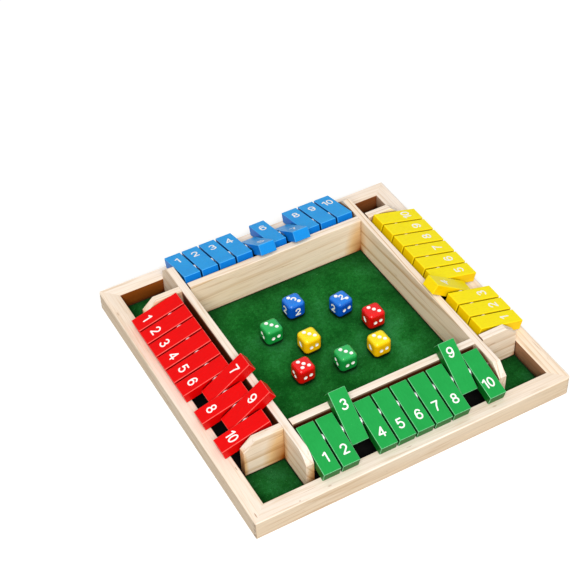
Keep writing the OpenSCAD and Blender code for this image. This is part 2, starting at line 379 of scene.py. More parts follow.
# each pattern in the wood: how fine it is along and across the grain, its detail, its roughness
woodPatterns = {"patches": (5, 45, 3, 0.5), "fibres": (30, 1500, 4, 0.65), "tone": (6, 30, 2, 0.5),
                "streaks": (16, 420, 3, 0.6), "flecks": (90, 600, 1, 0.5)}
# each board: the way its grain runs, where its log's heart lies across and up, how far apart its
# rings are, where in a ring its late wood starts, how strong that is and how dark the ends are
boards = {
    "rail_front": ("X", 41, 26, 4.4, 0.5, 0.4, 0.9), "rail_back": ("X", 15, 62, 4.2, 0.5, 0.5, 0.9),
    "rail_left": ("Y", 37, 48, 4.4, 0.5, 0.35, 0.9), "rail_right": ("Y", 52, 21, 4.4, 0.5, 0.55, 0.9),
    "wall_front": ("X", 30, 46, 5.5, 0.6, 0.9, 0.15), "wall_back": ("X", 24, 66, 6.5, 0.7, 1.0, 0.15),
    "wall_left": ("Y", 36, 52, 5.5, 0.6, 0.8, 0.15), "wall_right": ("Y", 26, 57, 4.6, 0.72, 1.7, 0.15),
}
# the way that each rail's inner face looks, and how strong its painted shade is at the grain's two ends
inward = {"rail_front": ((0, 1, 0), 0.7, 0.7), "rail_back": ((0, -1, 0), 1.0, 0.97),
          "rail_left": ((1, 0, 0), 0.7, 0.7), "rail_right": ((-1, 0, 0), 0.8, 0.55)}
# the way that each wall looks towards its own row, where painted shade darkens the channel
outward = {"wall_front": (0, -1, 0), "wall_back": (0, 1, 0), "wall_left": (-1, 0, 0),
           "wall_right": (1, 0, 0)}
# painted shade in corners and down the walls' ends: place in mm, reach in mm, how brown
cornerShades = {
    "wall_front": [((-86.0, -85.9, 0.0), (20, 6, 46), 1.0), ((-121.4, -82.4, 9.0), (5, 9, 26), 0.9)],
    "wall_left": [((-79.0, -121.0, 11.0), (8, 6, 19), 1.0), ((-86.0, -86.0, 6.0), (5, 7, 40), 0.5)],
    "wall_back": [((84.2, 84.6, 0.0), (17, 6, 42), 0.9), ((-121.4, 88.4, 9.0), (5, 9, 26), 0.9)],
    "wall_right": [((84.2, 84.6, 6.0), (5, 9, 36), 0.4)],
}
# resin flecks and small knots on the rails' tops: place in mm, size along and across, how dark
marks = {
    "rail_left": [((-136.0, -133.0), (3.2, 0.6), 0.75), ((-136.9, 106.5), (3.0, 0.9), 0.4)],
    "rail_front": [((-102.2, -137.8), (0.9, 0.6), 0.6), ((-91.0, -132.6), (8.0, 0.35), 0.4),
                   ((71.0, -134.5), (2.6, 1.0), 0.35), ((-76.6, -136.8), (2.2, 0.9), 0.4)],
    "rail_right": [((136.7, -99.0), (8.5, 0.35), 0.6)],
}


def sawnLog(material, where, grain, across, upward):
    # places in the log that a board was sawn from, its grain along X and a little askew
    heart = (pine["shiftAlong"] * across * mm, across * mm, -upward * mm)
    leanX, leanY, turn = pine["askew"]
    skew = (leanX, leanY, math.radians(90 if grain == "Y" else 0) + turn)
    return addNode(material, "Mapping", {"Vector": where, "Location": heart, "Rotation": skew}).outputs[0]


def growthRings(material, log, pitch):
    slow = stretched(material, log, *pine["swayFineness"], "X")
    sway = addNode(material, "TexNoise", {"Vector": slow, "Scale": 1.0, "Detail": 2.0})
    centred = addNode(material, "VectorMath", {0: sway.outputs["Color"], 1: (0.5, 0.5, 0.5)},
                      operation="SUBTRACT").outputs[0]
    scaled = addNode(material, "VectorMath", {0: centred, "Scale": pine["ringSway"] * 2 * mm},
                     operation="SCALE").outputs[0]
    bent = addNode(material, "VectorMath", {0: log, 1: scaled}, operation="ADD").outputs[0]
    return addNode(material, "TexWave", {"Vector": bent, "Scale": pine["ringUnit"] / (pitch * mm),
                                         "Distortion": 0.6, "Detail": 1.0, "Detail Scale": 0.3},
                   wave_type="RINGS", rings_direction="X", wave_profile="SAW").outputs["Fac"]


def bareWood(material, log, pitch, lateFrom, contrast):
    # the board's colour before any finish, with its late wood and its fibres
    def pattern(name):
        along, across, detail, rough = woodPatterns[name]
        return noiseAt(material, stretched(material, log, along, across, "X"), 1.0, detail, rough)

    rings = growthRings(material, log, pitch)
    lateWood = ramp(material, rings, ((lateFrom, 0.0), (0.94, 1.0), (1.0, 0.0)))
    strength = mapped(material, pattern("patches"), 0.15 * contrast, contrast, 0.35, 0.7)
    fibres = pattern("fibres")
    warmth = ramp(material, pattern("tone"), ((0.3, 0.0), (0.75, 1.0)))
    ground = blendColour(material, warmth, pine["pale"], pine["warm"])
    ringed = blendColour(material, maths(material, "MULTIPLY", lateWood, strength), ground, pine["late"])
    streaks = ramp(material, pattern("streaks"), ((0.54, 0.0), (0.74, 0.5)))
    streaked = blendColour(material, streaks, ringed, pine["late"])
    combed = tinted(material, streaked, ramp(material, fibres, ((0.3, 0.91), (0.7, 1.06))))
    # small brown resin flecks, long with the grain
    flecks = ramp(material, pattern("flecks"), ((0.77, 0.0), (0.81, 0.6)))
    return blendColour(material, flecks, combed, pine["fleck"]), lateWood, fibres


def squareOn(material, normal, way):
    # 1 on the faces that look squarely that way, and 0 on the rest
    return ramp(material, facingWay(material, normal, way), ((0.75, 0.0), (0.95, 1.0)))


def channelShade(material, coords, board, grain, wood):
    # painted shade: a wall's face in its row's channel goes dark brown, less just under its top edge
    axis = "XY".index(grain)
    place = addNode(material, "SeparateXYZ", {0: coords["Object"]}).outputs
    middle = maths(material, "SUBTRACT", place[axis], rowMiddle[axis])
    inRow = mapped(material, maths(material, "ABSOLUTE", middle), 1.0, 0.0, rowHalf, rowHalf + channelFade)
    lower = mapped(material, place[2], 1.0, pine["shadeTopShare"], wallTop - pine["shadeTopBand"] * mm, wallTop)
    facing = squareOn(material, coords["Normal"], outward[board])
    mask = maths(material, "MULTIPLY", maths(material, "MULTIPLY", facing, inRow), lower)
    return blendColour(material, mask, wood, tinted(material, wood, pine["channel"]))


def innerShade(material, coords, board, grain, wood):
    # painted shade: a rail's inner face is tinted brown, more at one end than the other
    way, lowEnd, highEnd = inward[board]
    along = addNode(material, "SeparateXYZ", {0: coords["Object"]}).outputs["XY".index(grain)]
    span = pine["stainSpan"] * mm
    strength = mapped(material, along, lowEnd, highEnd, -span, span)
    mask = maths(material, "MULTIPLY", squareOn(material, coords["Normal"], way), strength)
    return blendColour(material, mask, wood, tinted(material, wood, pine["stain"]))


def blotAt(material, where, place, reach, turn=0.0):
    # 1 at a place on the board, falling to 0 at its reach
    spot = addNode(material, "Mapping", {"Vector": where, "Location": place, "Rotation": (0, 0, turn),
                                         "Scale": reach}, vector_type="TEXTURE")
    return addNode(material, "TexGradient", {"Vector": spot.outputs[0]},
                   gradient_type="SPHERICAL").outputs["Fac"]


def cornerShadesAndMarks(material, where, board, grain, wood):
    # painted shade: brown blots darken the corners where walls meet
    for place, reach, brown in cornerShades.get(board, ()):
        blot = blotAt(material, where, [far * mm for far in place], [far * mm for far in reach])
        tint = ramp(material, maths(material, "MULTIPLY", blot, brown),
                    ((0.0, 1.0), (0.35, pine["cornerShadeLight"]), (0.85, pine["cornerShadeDeep"])))
        wood = tinted(material, wood, tint)
    turn = math.radians(90 if grain == "Y" else 0)
    for (x, y), (long, wide), dark in marks.get(board, ()):
        reach = (long * mm, wide * mm, pine["markDepth"] * mm)
        blot = blotAt(material, where, (x * mm, y * mm, railTop), reach, turn)
        mask = ramp(material, blot, ((0.0, 0.0), (0.6, dark)))
        wood = blendColour(material, mask, wood, pine["fleck"])
    return wood


def pineWood(board, grain, across, upward, pitch, lateFrom, contrast, endDark):
    material, skin = newFinish("pine_" + board, Specular_IOR_Level=pine["specular"])
    coords = addNode(material, "TexCoord").outputs
    log = sawnLog(material, coords["Object"], grain, across, upward)
    bare, lateWood, fibres = bareWood(material, log, pitch, lateFrom, contrast)
    # the ends of a board drink more of the finish and come out darker
    way = (0, 1, 0) if grain == "Y" else (1, 0, 0)
    facing = maths(material, "ABSOLUTE", facingWay(material, coords["Normal"], way))
    endMask = ramp(material, facing, ((0.8, 0.0), (0.97, endDark)))
    ended = blendColour(material, endMask, bare, pine["endGrain"])
    # a board's upright sides get a warmer, darker tone than its top: painted shade
    sideShadeTone = pine["railSideShade"] if board.startswith("rail") else pine["wallSideShade"]
    level = maths(material, "ABSOLUTE", heightOf(material, coords["Normal"]))
    upright = ramp(material, level, ((0.3, 1.0), (0.75, 0.0)))
    sideShaded = blendColour(material, upright, ended, tinted(material, ended, sideShadeTone))
    # painted shade: upright faces go brown, and near black in tight inner corners and gaps
    hollowShade = ramp(material, openness(material, pine["hollowReach"]),
                ((0.12, pine["pitch"]), (0.32, pine["hollowShadeBrown"]), (0.6, 1.0)))
    finished = blendColour(material, upright, sideShaded, tinted(material, sideShaded, hollowShade))
    if board in outward:
        finished = channelShade(material, coords, board, grain, finished)
    if board in inward:
        finished = innerShade(material, coords, board, grain, finished)
    finished = cornerShadesAndMarks(material, coords["Object"], board, grain, finished)
    link(material, finished, skin.inputs["Base Color"])
    link(material, mapped(material, fibres, *pine["roughness"]), skin.inputs["Roughness"])
    height = maths(material, "ADD", maths(material, "MULTIPLY", lateWood, 0.35), fibres)
    bumpFrom(material, skin, height, pine["relief"], pine["reliefDepth"] * mm)
    return material


def railEdge(edge):
    # a rail's long top edges and its foot, but not its mitres or the slots for the tongues
    tops = [vert.co.z for vert in edge.verts]
    slack = pine["mitreSlack"] * mm
    mitred = all(abs(abs(vert.co.x) - abs(vert.co.y)) < slack for vert in edge.verts)
    onTop = min(tops) > railTop - pine["topBand"] * mm
    return not mitred and (onTop or max(tops) < pine["footBand"] * mm)


def makeBoards():
    for name, cut in boards.items():
        material = pineWood(name, *cut)
        bm = softened(name, pine["roundOver"] * mm, railEdge if name.startswith("rail") else anyEdge)
        piece = addPiece(name + "_wood", meshFrom(bm, name + "_wood", material), "tray", (name,))
        keepFlatsFlat(piece)


makeBoards()
print("pine rails and walls made")


blackPaint = {"dark": shade(9, 9, 9), "worn": shade(22, 21, 20), "dust": shade(70, 66, 60),
              "roughness": 0.85, "specular": 0.15, "clouds": 60, "grit": 2600, "gritDepth": 0.05}
# each metal: its dark and bright tones by where they start, how fine its scratches are, how rough
# it is between them and how deep they look
metals = {
    "drawn_steel": {"tones": ((0.3, shade(150, 150, 150)), (0.7, shade(205, 205, 203))),
                    "scratches": 3500, "roughness": (0.2, 0.45), "bump": 0.2},
    "bright_plate": {"tones": ((0.35, shade(222, 222, 222)), (0.7, shade(248, 248, 246))),
                     "scratches": 1800, "roughness": (0.3, 0.5), "bump": 0.15},
}
scratchDepth = 0.02  # mm
washerRound = 0.2  # mm


def blackBoard():
    material, skin = newFinish("black_board_paint", Roughness=blackPaint["roughness"],
                               Specular_IOR_Level=blackPaint["specular"])
    where = objectPlace(material)
    cloudy = noiseAt(material, where, blackPaint["clouds"], 4)
    grit = noiseAt(material, where, blackPaint["grit"], 3)
    base = ramp(material, cloudy, ((0.35, blackPaint["dark"]), (0.7, blackPaint["worn"])))
    dusty = blendColour(material, ramp(material, grit, ((0.66, 0.0), (0.8, 0.3))), base,
                        blackPaint["dust"])
    link(material, dusty, skin.inputs["Base Color"])
    bumpFrom(material, skin, grit, 0.3, blackPaint["gritDepth"] * mm)
    return material


def scratchedMetal(name):
    metal = metals[name]
    material, skin = newFinish(name, Metallic=1.0)
    scratches = noiseAt(material, objectPlace(material), metal["scratches"], 3)
    link(material, ramp(material, scratches, metal["tones"]), skin.inputs["Base Color"])
    link(material, mapped(material, scratches, *metal["roughness"]), skin.inputs["Roughness"])
    bumpFrom(material, skin, scratches, metal["bump"], scratchDepth * mm)
    return material


def dressNode(name, material):
    # the CAD shape is right, so only its finish changes
    mesh = nodes[name].data
    if not mesh.materials:
        mesh.materials.append(material)
    for index in range(len(mesh.materials)):
        mesh.materials[index] = material


def makeMetalAndBoard():
    dressNode("base_board", blackBoard())
    dressNode("pivot_rods", scratchedMetal("drawn_steel"))
    bm = softened("spacer_washers", washerRound * mm, anyEdge)
    mesh = meshFrom(bm, "washer_set", scratchedMetal("bright_plate"))
    keepFlatsFlat(addPiece("washer_set", mesh, "tray", ("spacer_washers",)))


makeMetalAndBoard()
print("base board, rods and washers dressed")


felt = {
    "dark": shade(12, 86, 26), "mid": shade(27, 110, 42), "light": shade(44, 130, 66),
    "lint": shade(90, 160, 104), "sheenTint": shade(110, 190, 120), "sheen": 0.12, "specular": 0.05,
    "step": 1.5, "leastCells": 8, "nap": 0.09, "edgeRoll": 0.3, "edgeWidth": 0.7, "wallReach": 30,
    "seamReach": 3, "pileDepth": 0.25,  # mm, but leastCells counts
    "brushed": 26, "mottled": 330, "fibre": 1500, "lintSpread": 900,  # how fine each pattern is
    "ripples": (420, 90), "broadShare": 0.6,
}


def feltCloth():
    material, skin = newFinish("green_felt", Roughness=1.0, Specular_IOR_Level=felt["specular"],
                               Sheen_Weight=felt["sheen"], Sheen_Roughness=0.5,
                               Sheen_Tint=felt["sheenTint"])
    where = objectPlace(material)
    brushed = noiseAt(material, where, felt["brushed"], 4, 0.6)
    mottled = noiseAt(material, where, felt["mottled"], 3, 0.6)
    fibre = noiseAt(material, where, felt["fibre"], 4, 0.8)
    worn = maths(material, "ADD", maths(material, "MULTIPLY", brushed, 0.72),
                 maths(material, "MULTIPLY", mottled, 0.28))
    ground = ramp(material, worn, ((0.4, felt["dark"]), (0.52, felt["mid"]), (0.64, felt["light"])))
    # painted shade: the pile is darkened where walls stand close round it, and most at its edges
    wallShade = ramp(material, openness(material, felt["wallReach"]), ((0.45, 0.36), (0.95, 1.08)))
    seamShade = ramp(material, openness(material, felt["seamReach"]), ((0.5, 0.22), (0.8, 1.0)))
    shaded = tinted(material, tinted(material, ground, wallShade), seamShade)
    fluffy = tinted(material, shaded, ramp(material, fibre, ((0.34, 0.5), (0.66, 1.5))))
    lint = ramp(material, noiseAt(material, where, felt["lintSpread"], 1), ((0.73, 0.0), (0.79, 0.5)))
    link(material, blendColour(material, lint, fluffy, felt["lint"]), skin.inputs["Base Color"])
    bumpFrom(material, skin, maths(material, "ADD", fibre, mottled), 0.7, felt["pileDepth"] * mm)
    return material


def feltSheet(name, low, high, material):
    # a closed sheet whose face is brushed uneven and whose cut edge rolls down
    width, depth, _ = high - low
    countX, countY = (max(felt["leastCells"], round(side / (felt["step"] * mm))) for side in (width, depth))
    fine, broad = felt["ripples"]
    bm = bmesh.new()
    bmesh.ops.create_grid(bm, x_segments=countX, y_segments=countY, size=0.5)
    for vert in bm.verts:
        x, y = low.x + (vert.co.x + 0.5) * width, low.y + (vert.co.y + 0.5) * depth
        fromEdge = min(x - low.x, high.x - x, y - low.y, high.y - y)
        roll = felt["edgeRoll"] * mm * math.exp(-fromEdge / (felt["edgeWidth"] * mm))
        ripple = noise.noise(Vector((x, y, 0)) * fine)
        ripple += felt["broadShare"] * noise.noise(Vector((x, y, 3)) * broad)
        vert.co = Vector((x, y, high.z - roll - felt["nap"] * mm * (0.8 + 0.5 * ripple)))
    rim = [edge for edge in bm.edges if edge.is_boundary]
    skirt = bmesh.ops.extrude_edge_only(bm, edges=rim)["geom"]
    for vert in [part for part in skirt if isinstance(part, bmesh.types.BMVert)]:
        vert.co.z = low.z
    under = [part for part in skirt if isinstance(part, bmesh.types.BMEdge)]
    bmesh.ops.contextual_create(bm, geom=under)
    return meshFrom(bm, name, material)


def makeFelt():
    material = feltCloth()
    names = ["felt_corner_red_green", "felt_corner_blue_red", "felt_tray", "felt_corner_green_yellow",
             "felt_corner_yellow_blue"]
    for name, (low, high) in zip(names, solidBoxes("felt_lining")):
        piece = addPiece(name, feltSheet(name, low, high, material), "tray", ("felt_lining",))


makeFelt()
print("felt laid")


numeral = {"stroke": 1.25, "grid": 0.22, "span": (6.2, 5.2), "raised": 0.04, "sunk": 0.12,
           "oneOfTen": (0.9, -2.95), "noughtOfTen": (0.92, 1.75)}  # how narrow, how far to the side


def arc(x, y, reachX, reachY, start, stop, count=26):
    turns = [math.radians(start + (stop - start) * k / count) for k in range(count + 1)]
    return [(x + reachX * math.cos(t), y + reachY * math.sin(t)) for t in turns]


def strokesOf(digit):
    # the middle lines of a plain digit's strokes, in a box 6 wide and 9 high about the origin
    top, low = 3.78, -3.78
    if digit == "0":
        return [arc(0, 0, 2.2, top, 0, 360, 40)]
    if digit == "1":
        return [[(0.7, low), (0.7, top), (-1.5, 2.2)]]
    if digit == "2":
        return [arc(-0.05, 1.6, 2.15, 2.18, 170, -38) + [(-2.2, low), (2.3, low)]]
    if digit == "3":
        return [arc(-0.1, 1.95, 1.95, 1.83, 155, -90), arc(-0.1, -1.83, 2.3, 1.95, 90, -155)]
    if digit == "4":
        return [[(0.95, low), (0.95, top), (-2.75, -1.7), (2.6, -1.7)]]
    if digit == "5":
        return [[(1.9, top), (-1.5, top), (-1.85, 0.35)] + arc(-0.05, -1.35, 2.3, 2.43, 135, -150)]
    if digit == "6":
        return [arc(0, -1.5, 2.25, 2.28, 0, 360, 36), arc(0.1, 0, 2.35, top, 38, 180) + [(-2.25, -1.5)]]
    if digit == "hook":
        return [arc(-0.05, 0.4, 2.3, 2.18, 165, -60)]
    if digit == "7":
        return [[(-2.25, top), (2.25, top), (0.2, 0.2), (-0.85, low)]]
    if digit == "8":
        return [arc(0, 1.95, 1.85, 1.83, 0, 360, 34), arc(0, -1.83, 2.25, 1.95, 0, 360, 36)]
    turned = strokesOf("6")
    return [[(-x, -y) for x, y in line] for line in turned]


def strokesOfNumber(number):
    if number == "hook":
        return strokesOf(number)
    if number < 10:
        return strokesOf(str(number))
    lines = []
    for digit, (narrow, aside) in (("1", numeral["oneOfTen"]), ("0", numeral["noughtOfTen"])):
        lines += [[(x * narrow + aside, y) for x, y in line] for line in strokesOf(digit)]
    return lines


def numberPlate(number, size, stroke):
    # a thin printed plate: a grid lifted by its distance to the strokes and cut level
    half = stroke / 2
    ends = []
    for line in strokesOfNumber(number):
        ends += list(zip(line[:-1], line[1:]))
    first, last = np.array([a for a, _ in ends]), np.array([b for _, b in ends])
    (spanX, spanY), step = numeral["span"], numeral["grid"]
    xs, ys = np.arange(-spanX, spanX + step, step), np.arange(-spanY, spanY + step, step)
    gridX, gridY = np.meshgrid(xs, ys)
    points = np.stack([gridX.ravel(), gridY.ravel()], 1)
    run = last - first
    share = ((points[:, None] - first) * run).sum(2) / np.maximum((run * run).sum(1), 1e-9)
    nearest = first + np.clip(share, 0, 1)[..., None] * run
    away = np.sqrt(((points[:, None] - nearest) ** 2).sum(2)).min(1) - half
    bm = bmesh.new()
    verts = [bm.verts.new((x, y, z)) for (x, y), z in zip(points, away)]
    for row in range(len(ys) - 1):
        for column in range(len(xs) - 1):
            start = row * len(xs) + column
            corners = (start, start + 1, start + len(xs) + 1, start + len(xs))
            if min(away[k] for k in corners) < 0:
                bm.faces.new([verts[k] for k in corners])
    bmesh.ops.bisect_plane(bm, geom=bm.verts[:] + bm.edges[:] + bm.faces[:], dist=1e-6,
                           plane_co=(0, 0, 0), plane_no=(0, 0, 1), clear_outer=True)
    loose = [vert for vert in bm.verts if not vert.link_faces]
    bmesh.ops.delete(bm, geom=loose, context="VERTS")
    for vert in bm.verts:
        vert.co = Vector((vert.co.x * size, vert.co.y * size, 0)) * mm
    bmesh.ops.dissolve_limit(bm, angle_limit=math.radians(2), verts=bm.verts[:], edges=bm.edges[:])
    lower = bmesh.ops.extrude_face_region(bm, geom=bm.faces[:], use_keep_orig=True)["geom"]
    for part in lower:
        if isinstance(part, bmesh.types.BMVert):
            part.co.z = -numeral["sunk"] * mm
    for vert in bm.verts:
        if vert.co.z == 0:
            vert.co.z = numeral["raised"] * mm
    return bm


def printedWhite():
    material, skin = newFinish("printed_white", Roughness=0.42, Specular_IOR_Level=0.4)
    thin = noiseAt(material, objectPlace(material), 900, 3)
    link(material, ramp(material, thin, ((0.3, shade(246, 246, 243)), (0.6, shade(255, 255, 255)))),
         skin.inputs["Base Color"])
    bumpFrom(material, skin, thin, 0.15, 0.03 * mm)
    return material


whiteInk = printedWhite()
plates = {}


def plateMesh(number, size=1.0, stroke=numeral["stroke"]):
    key = (number, size, stroke)
    if key not in plates:
        plates[key] = meshFrom(numberPlate(*key), "number_%s" % number, smooth=False)
    return plates[key]


tile = {"roundOver": 0.14, "numberFromEnd": 12.6, "scatter": 0.3, "tilt": 1.2, "seed": 11,
        "gapReach": 5, "boreReach": 3, "tipShare": 0.97, "flatFace": 0.97, "specular": 0.12,
        "roughness": (0.28, 0.44), "grain": (60, 900), "patches": 70, "chipsAndHighlights": 1400, "grainDepth": 0.06}
# numbers that were printed well off their place, in mm to the right and towards the tile's long end
nudges = {("green", 1): (1.3, 0), ("green", 2): (0.6, 0), ("green", 3): (0.6, 0), ("green", 6): (0.6, -0.5),
          ("green", 7): (0.3, -0.7), ("green", 9): (-0.4, 3.2), ("green", 10): (-1.0, 0),
          ("red", 1): (0.3, 0.8), ("red", 2): (0, 0.7), ("red", 3): (0, 0.7), ("red", 4): (0, 0.7),
          ("red", 7): (0.5, 0.8), ("red", 9): (0, -1.2), ("red", 10): (0, -0.6)}
# how much nearer to the pivot a whole row's numbers stand
rowInset = {"yellow": 1.0, "blue": 0.3}
# each colour's side tone is painted shade, and its pale edge tone is painted highlight
paints = {
    "green": {"face": shade(34, 164, 76), "thin": shade(146, 228, 174), "deep": shade(24, 148, 64),
              "side": shade(12, 108, 34)},
    "red": {"face": shade(234, 5, 7), "thin": shade(252, 120, 110), "deep": shade(216, 4, 6),
            "side": shade(224, 4, 5)},
    "blue": {"face": shade(30, 166, 244), "thin": shade(96, 186, 248), "deep": shade(18, 140, 232),
             "side": shade(14, 128, 226)},
    "yellow": {"face": shade(255, 238, 6), "thin": shade(255, 238, 40), "deep": shade(255, 232, 4),
               "side": shade(255, 214, 4)},
}


def tilePaint(colour, alongY, edge):
    # satin paint over pine: the grain just tells through it, and along the edges it is paler, a painted
    # highlight
    tones = paints[colour]
    material, skin = newFinish("tile_" + colour + ("_edge_highlight" if edge else ""),
                               Specular_IOR_Level=tile["specular"])
    coords = addNode(material, "TexCoord").outputs
    where = coords["Object"]
    drawnOut = stretched(material, where, *tile["grain"], "Y" if alongY else "X")
    grain = noiseAt(material, drawnOut, 1.0, 4, 0.6)
    patches = ramp(material, noiseAt(material, where, tile["patches"], 3), ((0.35, 0.0), (0.75, 0.35)))
    face = blendColour(material, patches, tones["face"], tones["deep"])
    # painted shade: the narrow sides get a deeper tone than the two broad faces
    level = maths(material, "ABSOLUTE", heightOf(material, coords["Normal"]))
    sideShaded = blendColour(material, ramp(material, level, ((0.4, 1.0), (0.75, 0.0))), face, tones["side"])
    grained = tinted(material, sideShaded, ramp(material, grain, ((0.3, 0.95), (0.7, 1.05))))
    # painted highlight: on the edge faces the paler tone stands in for highlight lines, and on broad faces
    # it makes small worn chips
    chipsAndHighlights = noiseAt(material, where, tile["chipsAndHighlights"], 2)
    worn = ramp(material, chipsAndHighlights, ((0.35, 0.35), (0.62, 0.8)) if edge else ((0.74, 0.0), (0.8, 0.4)))
    painted = blendColour(material, worn, grained, tones["thin"])
    # painted shade darkens the paint in the narrow gaps between the tiles
    gapShade = ramp(material, openness(material, tile["gapReach"]), ((0.12, 0.08), (0.5, 1.0)))
    link(material, tinted(material, painted, gapShade), skin.inputs["Base Color"])
    link(material, mapped(material, grain, *tile["roughness"]), skin.inputs["Roughness"])
    bumpFrom(material, skin, grain, 0.22, tile["grainDepth"] * mm)
    return material


def tileAxes(name):
    # the tile's pivot at its middle, its hinge axis, its long arm and the face that is up when open
    hinge = hinges[name]
    axis, pivot = Vector(hinge["axis"]).normalized(), Vector(hinge["pos_m"])
    points = [vert.co - pivot for vert in nodes[name].data.vertices]
    along = [point.dot(axis) for point in points]
    middle = pivot + axis * (min(along) + max(along)) / 2
    spokes = [point - axis * point.dot(axis) for point in points]
    reach = max(spoke.length for spoke in spokes)
    arm = sum((spoke for spoke in spokes if spoke.length > tile["tipShare"] * reach), Vector()).normalized()
    length = max(spoke.dot(arm) for spoke in spokes)
    face = axis.cross(arm)
    thick = max(spoke.dot(face) for spoke in spokes)
    return middle, axis, arm, face, length, thick


def makeTiles():
    printing = random.Random(tile["seed"])
    for colour in rowColours:
        alongY = colour in ("green", "blue")
        materials = (tilePaint(colour, alongY, False), tilePaint(colour, alongY, True))
        for number in range(1, tileCount + 1):
            name = "%s_tile_%02d" % (colour, number)
            middle, axis, arm, face, length, thick = tileAxes(name)

            def offBore(edge):
                spokes = [vert.co - middle for vert in edge.verts]
                return any((spoke - axis * spoke.dot(axis)).length > tile["boreReach"] * mm
                           for spoke in spokes)

            bm = softened(name, tile["roundOver"] * mm, offBore)
            for part in bm.faces:
                square = max(abs(part.normal.dot(way)) for way in (axis, arm, face))
                part.material_index = 0 if square > tile["flatFace"] else 1
            block = addPiece(name + "_block", meshFrom(bm, name + "_block", *materials), name,
                             (name,))
            keepFlatsFlat(block)
            addNumbers(name, colour, number, (middle, arm, face, length, thick), printing)


def addNumbers(name, colour, number, tileFrame, printing):
    middle, arm, face, length, thick = tileFrame
    bm = bmesh.new()
    for side in (1, -1):
        normal = face * side
        # the blue row's numbers stand towards the outside, and the other rows' towards the middle
        up = arm * (side if colour == "blue" else -side)
        right = up.cross(normal)
        lean = math.radians(printing.uniform(-tile["tilt"], tile["tilt"]))
        drift = printing.uniform(-tile["scatter"], tile["scatter"])
        shift, toEnd = nudges.get((colour, number), (drift, 0))
        turned = Matrix.Rotation(lean, 3, normal)
        fromEnd = tile["numberFromEnd"] + rowInset.get(colour, 0) - toEnd
        place = middle + arm * (length - fromEnd * mm) + normal * thick + right * shift * mm
        axes = Matrix((turned @ right, turned @ up, normal)).transposed().to_4x4()
        copy = plateMesh(number).copy()
        copy.transform(Matrix.Translation(place) @ axes)
        bm.from_mesh(copy)
        bpy.data.meshes.remove(copy)
    keepFlatsFlat(addPiece(name + "_numbers", meshFrom(bm, name + "_numbers", whiteInk), name))


makeTiles()
print("tiles painted and numbered")


die = {"edge": 3.8, "rounds": 8, "crease": 28, "pip": 3.3, "pipDeep": 0.5, "pipLip": 0.3, "pipRings": 7,
       "pipSides": 32, "spread": 3.35, "barLean": 125, "topLean": -7, "topShift": (0.15, -0.6),
       "numberSize": 0.84, "topSize": 0.66, "hookSize": 0.8, "hooked": "die_blue_1", "stroke": 1.7,
       "specular": 0.4, "roughness": (0.16, 0.32), "glow": 0.05, "glowReach": 0.003, "clouds": 160,
       "peel": 1300, "peelDepth": 0.03, "uprightSlack": 0.01}
# the pips of each pattern, in steps of spread from a face's middle, and how long one is drawn out
pipPatterns = {
    3: [(-1, 1), (0, 0), (1, -1)],
    4: [(-1, 1), (1, 1), (-1, -1), (1, -1)], 5: [(-1, 1), (1, 1), (0, 0), (-1, -1), (1, -1)],
    6: [(-1, 1), (-1, 0), (-1, -1), (1, 1), (1, 0), (1, -1)],
    "pair": [(-0.75, -0.1), (0.75, 0.1)], "steep": [(-0.4, 0.4), (0.4, -0.4)],
    "three and one": [(-1, 1), (0, 0), (1, -1), (-0.75, -1.1)], "two apart": [(-1, 1), (1, -1)],
    "bar": [(0, 0, 1.7)], "none": [],
}
# what each die shows: top, front, left, then the hidden back, right and bottom; numerals are set apart
diceFaces = {
    "die_green_1": (3, "pair", "steep", 5, 6, 4), "die_green_2": (3, "pair", "steep", 6, 5, 4),
    "die_yellow_1": (3, "pair", "bar", 5, 6, 4), "die_yellow_2": (3, "pair", "bar", 6, 5, 4),
    "die_red_1": (3, "pair", "bar", 5, 6, 4), "die_red_2": ("three and one", "pair", "steep", 6, 5, 3),
    "die_blue_1": ("two apart", "none", "none", 5, 6, 4),
    "die_blue_2": ("two apart", "pair", "none", 6, 5, 4),
}
dieNumerals = {"die_blue_1": ("top", "front", "left"), "die_blue_2": ("top", "left")}
# the way out of each face of a die, and the way that is up on it
dieSides = {
    "top": ((0, 0, 1), (0, 1, 0)), "front": ((0, -1, 0), (0, 0, 1)), "left": ((-1, 0, 0), (0, 0, 1)),
    "back": ((0, 1, 0), (0, 0, 1)), "right": ((1, 0, 0), (0, 0, 1)), "bottom": ((0, 0, -1), (0, 1, 0)),
}
# the plastic's colour on the top, and a deeper one on the sides that is painted shade
plastics = {
    "green": (shade(38, 182, 92), shade(22, 146, 62)), "yellow": (shade(255, 233, 14), shade(255, 196, 4)),
    "blue": (shade(24, 126, 232), shade(8, 82, 198)), "red": (shade(238, 8, 12), shade(208, 3, 7)),
}


def dicePlastic(colour):
    material, skin = newFinish("moulded_" + colour, Specular_IOR_Level=die["specular"],
                               Subsurface_Weight=die["glow"], Subsurface_Scale=die["glowReach"])
    coords = addNode(material, "TexCoord").outputs
    clouds = noiseAt(material, coords["Object"], die["clouds"], 3)
    top, side = plastics[colour]
    # painted shade: the sides are darker than the top
    upward = ramp(material, heightOf(material, coords["Normal"]), ((0.15, 0.0), (0.85, 1.0)))
    topAndSideShade = blendColour(material, upward, side, top)
    clouded = tinted(material, topAndSideShade, ramp(material, clouds, ((0.3, 0.94), (0.7, 1.0))))
    link(material, clouded, skin.inputs["Base Color"])
    peel = noiseAt(material, coords["Object"], die["peel"], 2)
    link(material, mapped(material, peel, *die["roughness"]), skin.inputs["Roughness"])
    bumpFrom(material, skin, peel, 0.1, die["peelDepth"] * mm)
    return material


def faceMatrix(side, half):
    out, up = (Vector(way) for way in dieSides[side])
    axes = Matrix((up.cross(out), up, out)).transposed().to_4x4()
    onFace = Matrix.Translation(out * half) @ axes
    if side == "top":
        # the marks on the tops stand a little askew and off the middle
        x, y = die["topShift"]
        onFace = onFace @ Matrix.Translation((x * mm, y * mm, 0))
        onFace = onFace @ Matrix.Rotation(math.radians(die["topLean"]), 4, "Z")
    return onFace


